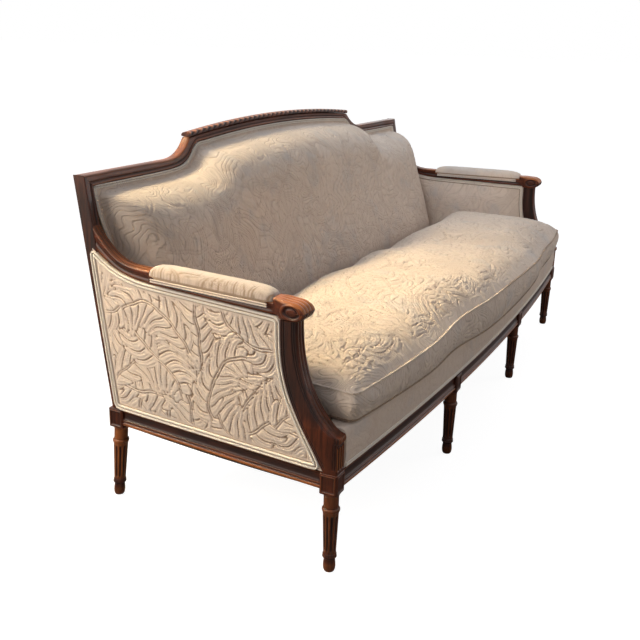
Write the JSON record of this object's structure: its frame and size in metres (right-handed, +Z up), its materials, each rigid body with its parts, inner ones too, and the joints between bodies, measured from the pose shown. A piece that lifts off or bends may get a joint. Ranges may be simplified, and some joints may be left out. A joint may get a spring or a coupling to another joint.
{
  "type": "sofa",
  "caption": "Long French style sofa with a bowed front, fluted tapered legs, scrolled arms, a stepped carved crest, a padded back and a loose bench cushion.",
  "frame": {"origin": "on the floor under the middle of the sofa's box", "axes": "+X to the sofa's right hand end as seen from the front, +Y from the front to the back, +Z up"},
  "size_m": [2.212, 0.8818, 0.933],
  "materials": {
    "stained_wood": "dark reddish brown stain under a worn satin varnish",
    "bare_wood": "unfinished beech",
    "cream_fabric": "cream quilted cotton with raised scrolling leaves",
    "jute": "woven jute bands",
    "hessian": "open plain weave",
    "black_lining": "thin matt lining"
  },
  "bodies": {
    "frame": {"arm_lining_left": "hessian", "arm_lining_right": "hessian", "arm_pad_left": "cream_fabric", "arm_pad_right": "cream_fabric", "arm_rail_left": "stained_wood", "arm_rail_right": "stained_wood", "arm_support_left": "stained_wood", "arm_support_right": "stained_wood", "back_lower_rail": "bare_wood", "back_pad": "cream_fabric", "back_stay_left": "bare_wood", "back_stay_right": "bare_wood", "back_webbing": "jute", "corner_block_front_left": "bare_wood", "corner_block_front_right": "bare_wood", "corner_block_rear_left": "bare_wood", "corner_block_rear_right": "bare_wood", "crest_cap": "stained_wood", "crest_rail": "stained_wood", "dust_cover": "black_lining", "front_leg_left": "stained_wood", "front_leg_right": "stained_wood", "front_mid_leg_left": "stained_wood", "front_mid_leg_right": "stained_wood", "front_rail_centre": "stained_wood", "front_rail_left": "stained_wood", "front_rail_right": "stained_wood", "inside_arm_left": "cream_fabric", "inside_arm_right": "cream_fabric", "outside_arm_left": "cream_fabric", "outside_arm_right": "cream_fabric", "outside_back": "cream_fabric", "rear_mid_leg_left": "stained_wood", "rear_mid_leg_right": "stained_wood", "rear_post_left": "stained_wood", "rear_post_right": "stained_wood", "rear_rail_centre": "stained_wood", "rear_rail_left": "stained_wood", "rear_rail_right": "stained_wood", "seat_brace_left": "bare_wood", "seat_brace_right": "bare_wood", "seat_deck": "cream_fabric", "seat_webbing": "jute", "side_rail_left": "stained_wood", "side_rail_right": "stained_wood"},
    "cushion": {"seat_cushion": "cream_fabric"}
  },
  "joints": [
    {"name": "cushion_lift", "type": "slide", "parent": "frame", "child": "cushion", "axis": [0, 0, 1], "range_m": [0, 0.6]}
  ]
}
